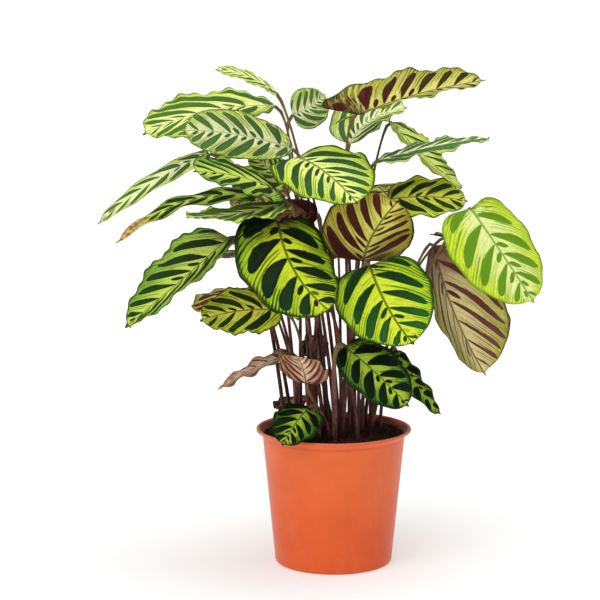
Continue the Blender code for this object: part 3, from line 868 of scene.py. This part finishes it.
def ovalMask(spot, look):  # the big ovals, narrow at the midrib and blunt near the margin
    number = maths("FLOOR", spot.cell)
    off = maths("ABSOLUTE", spot.cell - number - 0.5)
    luck = chance(number, spot.left, spot.seat)
    reachEnd = look["ovalReach"] - pattern["ovalReachLess"] + pattern["ovalReachMore"] * luck
    along = clipped((spot.reach - pattern["midribGap"]) / (reachEnd - pattern["midribGap"]))
    tail = clipped((along - pattern["ovalTail"]) / (1 - pattern["ovalTail"]))
    plump = clipped(along / pattern["ovalPlump"]) ** pattern["ovalPower"]
    plump = plump * maths("SQRT", clipped(1 - tail * tail))
    half = look["ovalWidth"] * between(pattern["ovalUnevenness"], luck) * plump
    half = half * between(pattern["ovalShare"], spot.share) * (1 - ramp(spot.t, *pattern["ovalEnd"]))
    half = half + spot.wobble * pattern["ovalWobble"]
    blur = pattern["blur"]
    return 1 - ramp(off, half - blur, half + blur), ramp(half - off, 0.0, pattern["ovalCore"])


def dropMask(spot):  # the small drops along the midrib, between some of the big ovals
    number = maths("FLOOR", spot.cell + 0.5)
    off = maths("ABSOLUTE", spot.cell - number)
    luck = chance(number + pattern["dropSeed"], spot.left, spot.seat)
    along = clipped((spot.reach - pattern["midribGap"]) / between(pattern["dropReach"], luck))
    half = pattern["dropHalf"] * maths("SQRT", clipped(4 * along * (1 - along)))
    blur = pattern["blur"]
    return (1 - ramp(off, half - blur, half + blur)) * ramp(luck, *pattern["dropLuck"])


def lineMask(spot):  # thin lines along the veins, each with its own start, width and strength
    thread = spot.cell * pattern["linesPerOval"]
    number = maths("FLOOR", thread)
    off = maths("ABSOLUTE", thread - number - 0.5) * 2
    start, luck = (chance(number + seed, spot.left, spot.seat) for seed in pattern["lineSeeds"])
    start = start * pattern["lineStart"]
    thin = 1 - ramp(off, between(pattern["lineHalf"], luck), between(pattern["lineEnd"], luck))
    wavy = spot.reach + spot.wobble * pattern["lineWobble"]
    begun = ramp(wavy, start, start + pattern["lineBegin"])
    return thin * begun * between(pattern["lineShare"], luck)


def paintedFace(look, spot, oval, core, drop, line):  # the colour of one face of a blade
    t, mottle, cloud, streak = spot.t, spot.mottle, spot.cloud, spot.streak
    inset = (1 - spot.reach) * spot.share + spot.wobble * paint["marginWobble"] - line * paint["marginLines"]
    edge = 1 - ramp(inset, *(look["rim"] * fade for fade in paint["marginFade"]))
    thin, thick = paint["ribHalf"]
    rib = 1 - ramp(spot.reach * spot.share, thin, thick + paint["ribTaper"] * (1 - t))
    ground = spot.reach + mottle * paint["groundMottle"] + cloud * paint["groundCloud"]
    ground = ramp(ground + spot.band * paint["groundBand"], *paint["groundRange"])
    # the dark part at the collar: the leaf's own dark markings, and partly painted shade under the leaves
    # above
    dark = t + spot.wobble * paint["darkWobble"] - streak * paint["darkStreak"]
    far = ramp(t + cloud * paint["farCloud"], *paint["farRange"]) * between(paint["farShare"], core)
    flecks = ramp(mottle, *paint["fleckRange"]) * paint["fleckShare"] + streak * paint["fleckStreak"]
    return layered(
        look["inner"],
        (ground, look["outer"]),
        (ramp(mottle, *paint["mottleRange"]) * paint["mottleShare"], look["line"]),
        (streak * paint["streakShare"], look["line"]),
        (line * look["lines"], look["line"]),
        (edge * paint["marginShare"], look["margin"]),
        ((1 - ramp(dark, paint["darkStart"], look["dark"])) * paint["darkShare"], look["oval"]),
        (clipped(oval + drop), layered(look["oval"], (far, look["far"]), (clipped(flecks), look["line"]))),
        (rib * paint["ribShare"], look["midrib"]))


@cache
def bladeMaterial(upperName, underName, dry):
    material, tree, shader = newMaterial(f"blade_{upperName}_{underName}_{dry}")
    upper, under = upperLooks[upperName], underLooks[underName]
    spot = bladePlace(tree)
    below = ramp(spot.under, *paint["underRange"])
    drop, line = dropMask(spot), lineMask(spot)
    upperOval, upperCore = ovalMask(spot, upper)
    underOval, underCore = ovalMask(spot, under)
    colour = mixed(below, paintedFace(upper, spot, upperOval, upperCore, drop, line),
                   paintedFace(under, spot, underOval, underCore, drop, line))
    if dry:
        reached = spot.t + spot.wobble * husk["wobble"] + husk["marginFirst"] * spot.reach
        parched = ramp(reached, 1 - dry, 1 + husk["marginFirst"] - dry * husk["fade"])
        crumpled = noise(spot.place * husk["stretch"], *husk["noise"])
        colour = mixed(parched, colour, mixed(ramp(crumpled, *husk["range"]), husk["dark"], husk["light"]))
    fine = noise(spot.place, *paint["fine"])
    shine = upper["shine"] + (under["shine"] - upper["shine"]) * below
    height = upperOval * paint["ovalBump"] - line * paint["lineBump"] + fine * paint["fineBump"]
    plug(shader, {
        "Base Color": colour,
        "Roughness": shine + paint["fineRoughness"] * fine - paint["ovalShine"] * upperOval,
        "Specular IOR Level": 0.07,
        "Normal": bumped(height, paint["bumpHeight"])})
    return material


stalk = dict(
    maroon=screen(84, 34, 34), light=screen(164, 98, 82),
    streak=(900, 3, 0.6),  # the scale, detail and roughness of a noise, as in patch
    streakStretch=(1, 1, 0.06), streakRange=(0.35, 0.7), dark=screen(32, 10, 14), patch=(45, 3, 0.6),
    patchRange=(0.40, 0.62), patchShare=0.7,
    lowShadeRange=(0.15, 0.50),  # the lower part is darker: painted shade among the crowded stalks
    lowShadeShare=0.5, olive=screen(128, 122, 58), oliveRange=(0.55, 0.95), oliveShare=0.6,
    collar=screen(122, 92, 56), collarShare=0.6, roughness=(0.42, 0.2), bumpHeight=0.0004,
)


@cache
def stalkMaterial():
    material, tree, shader = newMaterial("stalk")
    factor, neck = attribute(tree, "stalk")[:2]
    place = ownPlace(tree)
    streak = noise(place * stalk["streakStretch"], *stalk["streak"])
    patch = noise(place, *stalk["patch"])
    colour = layered(
        stalk["maroon"],
        (ramp(streak, *stalk["streakRange"]), stalk["light"]),
        (ramp(patch, *stalk["patchRange"]) * stalk["patchShare"], stalk["dark"]),
        # painted shade: darker towards the soil
        ((1 - ramp(factor, *stalk["lowShadeRange"])) * stalk["lowShadeShare"], stalk["dark"]),
        (ramp(factor, *stalk["oliveRange"]) * stalk["oliveShare"], stalk["olive"]),
        (neck * stalk["collarShare"], stalk["collar"]))
    plug(shader, {
        "Base Color": colour,
        "Roughness": between(stalk["roughness"], streak),
        "Specular IOR Level": 0.25,
        "Normal": bumped(streak, stalk["bumpHeight"])})
    return material


leafGrower = leafTree()

# Each leaf: its name and tone, its seat in the soil, its collar and tip, the way its upper face looks and its
# width, then its look (upper face, under face), how much of its tip is dry, and what is unusual in its shape

# Crown
leaf("top_left_slim", "pale", 0, (-0.063, 0.025, 0.515), (-0.128, 0.005, 0.541), (0, -0.28, 1), 0.046,
     "pale maroon", wave=0.001, taper=0.8, ovals=6.0, slant=1.1, ripple=2.5)
leaf("top_mid_left", "pale", 1, (-0.045, 0.03, 0.491), (-0.01, 0.04, 0.513), (-0.3, -0.9, 0.4), 0.043,
     "grey maroon", arch=0.004, bend=0.0026, roll=31)
leaf("top_mid", "pale", 8, (0.017, 0.03, 0.459), (0.081, 0.055, 0.497), (-0.05, -1, 0.5), 0.082,
     "grey maroon", arch=0.005, bend=-0.0106, fold=0.45, roll=-38, ovals=6.5, slant=0.8)
leaf("top_right_large", "underside", 5, (0.023, -0.005, 0.494), (0.16, -0.03, 0.532), (-0.2, 0.95, 0.15),
     0.054, "fresh bronze", arch=0.0018, bend=0.0049, fold=0.9, wave=0.005, taper=0.48, roll=26, twist=-25,
     lobe=0.35, ovals=7.4, slant=0.9, ripple=8.0)
leaf("top_front", "bright", 2, (-0.039, -0.015, 0.449), (0.023, -0.105, 0.408), (0.1, -0.66, 0.85), 0.1,
     "fresh maroon", arch=0.008, lobe=0.2, ovals=6.0, slant=0.9)

# Left side
leaf("upper_left_back", "pale", 9, (-0.065, 0.07, 0.498), (-0.21, 0.045, 0.468), (0, -0.42, 1), 0.119,
     "pale maroon", arch=0.009, bend=0.0043, taper=1.35, roll=6, ovals=5.6, slant=1.0, ripple=3.0)
leaf("upper_left_front", "pale", 10, (-0.045, 0.005, 0.456), (-0.161, -0.06, 0.481), (0, -0.6, 1), 0.051,
     "grey maroon", arch=-0.002, bend=0.0062, fold=0.1, taper=1.21, roll=-45, ovals=6.8, slant=1.0,
     ripple=5.0)
leaf("inner_pale", "pale", 4, (-0.054, 0.025, 0.413), (-0.093, 0.005, 0.452), (0.2, -0.7, 0.5), 0.046,
     "pale maroon", arch=0.004, slant=1.0)
leaf("left_long_upper", "pale", 38, (-0.135, 0.015, 0.45), (-0.255, -0.015, 0.376), (-0.5, -0.3, 0.85),
     0.02, "grey maroon", dry=0.05, arch=0.004, bend=0.0062, wave=0.0015, taper=0.72, roll=-35, ovals=6.0,
     slant=3.0)
leaf("left_long_lower", "deep", 33, (-0.084, -0.012, 0.407), (-0.234, -0.036, 0.358), (-0.3, -0.05, 1), 0.022,
     "lime brown", dry=0.3, arch=0.0149, bend=0.0114, taper=0.56, roll=-29, ovals=6.0, slant=3.0)
leaf("left_striped", "bright", 31, (-0.061, -0.05, 0.416), (-0.147, -0.115, 0.443), (0.1, -0.45, 1), 0.084,
     "lime maroon", ovals=5.4, slant=1.0, ripple=3.5)
leaf("left_pale", "pale", 17, (-0.052, -0.062, 0.405), (-0.154, -0.125, 0.397), (0, -0.05, 1), 0.08,
     "pale maroon", arch=-0.004, ovals=5.5, slant=1.2, ripple=3.0)
leaf("centre_fold", "underside", 20, (-0.018, -0.015, 0.388), (-0.092, -0.038, 0.383), (0, 1.6, 0.6), 0.034,
     "vivid plum", wave=0.001, neck=0.01, slant=0.9)
leaf("left_hanging", "bright", 30, (-0.112, -0.055, 0.367), (-0.222, -0.08, 0.274), (-0.6, -0.75, 0.45),
     0.083, "lime maroon", arch=0.008, bend=-0.012, fold=0.52, taper=0.62, roll=11, ovals=6.6, slant=1.2,
     ripple=3.5)

# Middle
leaf("front_centre", "bright", 7, (-0.06, -0.093, 0.39), (-0.005, -0.143, 0.301), (0, -1, 0.45), 0.109,
     "vivid maroon", arch=-0.0067, bend=0.0092, fold=-0.06, taper=0.74, roll=-27, lobe=0.14, ovals=5.3,
     slant=0.45)
leaf("front_right", "bright", 23, (0.036, -0.079, 0.341), (0.081, -0.124, 0.264), (0.1, -1, 0.5), 0.107,
     "bright maroon", arch=-0.0095, bend=0.002, fold=0.25, taper=0.72, roll=-3, lobe=0.05, ovals=5.2)
leaf("centre_underside", "underside", 18, (0.031, -0.028, 0.338), (0.066, -0.084, 0.41), (0.2, 1, 0.5),
     0.109, "vivid maroon", arch=-0.0052, bend=0.0079, fold=0.54, taper=0.63, roll=11, lobe=0.35, ovals=5.4,
     slant=0.5)

# Right side
leaf("right_slim", "pale", 29, (0.046, 0.005, 0.443), (0.169, 0.015, 0.467), (0.2, -0.03, 1), 0.075,
     "grey maroon", bend=0.0137, taper=0.75, roll=2, ovals=7.0, slant=1.3, ripple=3.0)
leaf("right_back_bright", "bright", 3, (0.066, 0.085, 0.479), (0.145, 0.09, 0.407), (0.5, -0.5, 0.7), 0.063,
     "fresh pink", arch=0.003, bend=0.0194, fold=0.3, wave=0.0015, taper=0.8, roll=-11, ovals=6.5, slant=1.2,
     ripple=3.0)
leaf("right_mid", "deep", 13, (0.057, -0.005, 0.402), (0.144, -0.012, 0.401), (0, -0.5, 0.85), 0.07,
     "sunny maroon", arch=0.005, ovals=4.8, slant=0.8)
leaf("right_bright", "bright", 26, (0.143, -0.06, 0.399), (0.208, -0.095, 0.303), (0.25, -0.95, 0.35), 0.098,
     "cream pink", dry=0.03, arch=0.0023, bend=0.0007, fold=-0.1, wave=0.002, taper=0.73, roll=-11, lobe=0.13,
     neck=0.008, ovals=5.0, slant=0.65)
leaf("right_underside", "underside", 21, (0.108, -0.005, 0.352), (0.164, -0.035, 0.214), (0.25, 1, 0.25),
     0.115, "vivid pink", dry=0.04, arch=-0.0046, bend=-0.0044, fold=0.64, taper=1.02, roll=20, ovals=6.8,
     slant=1.1)

# Low leaves among the stems
leaf("low_left", "bright", 12, (-0.057, -0.05, 0.288), (-0.143, -0.07, 0.28), (-0.1, -0.65, 0.75), 0.064,
     "sunny maroon", arch=0.004, bend=0.0036, roll=-1, ovals=4.7, slant=0.9, ripple=4.0)
leaf("low_left_small", "underside", 25, (-0.051, -0.018, 0.235), (-0.125, -0.064, 0.205), (-0.3, 0.5, 0.8),
     0.044, "deep brown", dry=0.12, arch=0.004, ovals=6.5, slant=1.0)
leaf("low_front_small", "underside", 15, (-0.03, -0.042, 0.207), (-0.041, -0.07, 0.243), (0, 0.6, 0.8),
     0.056, "deep brown", arch=0.004, roll=-17, ovals=6.0, slant=0.8)
leaf("low_mid_behind", "deep", 19, (-0.028, 0.08, 0.236), (-0.012, 0.07, 0.212), (0.1, -0.9, 0.5), 0.03,
     "deep maroon", arch=0.004)
leaf("low_right", "deep", 36, (0.01, -0.084, 0.255), (0.077, -0.112, 0.196), (0.1, -0.9, 0.6), 0.058,
     "deep maroon", stem=0.003)
leaf("low_right_outer", "deep", 34, (0.068, 0.000, 0.236), (0.116, -0.023, 0.169), (0.6, -0.35, 0.6), 0.027,
     "deep maroon", arch=0.005, bend=0.0094, roll=16)
leaf("rim_small", "deep", 28, (-0.027, -0.05, 0.182), (-0.056, -0.092, 0.15), (-0.2, -0.9, 0.5), 0.05,
     "deep maroon")

# Back
leaf("back_high", "bright", 24, (0.035, 0.095, 0.405), (0.075, 0.205, 0.368), (0.1, 0.35, 1), 0.098,
     "fresh maroon", arch=0.012)
leaf("back_left_high", "pale", 6, (-0.045, 0.085, 0.405), (-0.095, 0.19, 0.365), (-0.3, 0.4, 1), 0.092,
     "pale maroon", arch=0.012)
leaf("back_centre", "bright", 11, (0.005, 0.11, 0.345), (-0.01, 0.235, 0.3), (0, 0.5, 1), 0.104,
     "bright maroon", arch=0.014)
leaf("back_right", "bright", 16, (0.125, 0.08, 0.35), (0.205, 0.15, 0.31), (0.4, 0.4, 1), 0.094,
     "vivid maroon", arch=0.012)
leaf("back_left", "deep", 22, (-0.095, 0.075, 0.335), (-0.195, 0.15, 0.285), (-0.4, 0.4, 0.9), 0.094,
     "lime maroon", arch=0.012)
leaf("back_right_low", "deep", 37, (0.08, 0.105, 0.295), (0.14, 0.195, 0.24), (0.5, 0.6, 0.8), 0.088,
     "deep maroon", arch=0.01)
leaf("back_low_centre", "bright", 14, (-0.022, 0.095, 0.292), (-0.04, 0.172, 0.24), (-0.1, 0.7, 0.8), 0.078,
     "vivid maroon", arch=0.008)
leaf("back_low_left", "bright", 35, (-0.085, 0.09, 0.29), (-0.15, 0.155, 0.25), (-0.5, 0.6, 0.8), 0.084,
     "lime maroon", arch=0.01)
leaf("back_small", "deep", 32, (0.022, 0.062, 0.2), (0.06, 0.105, 0.165), (0.3, 0.7, 0.7), 0.052,
     "deep plum", arch=0.005)
leaf("back_small_left", "deep", 27, (-0.03, 0.085, 0.168), (-0.055, 0.128, 0.14), (-0.4, 0.7, 0.7), 0.05,
     "deep plum", arch=0.005)
print("the leaves are grown")
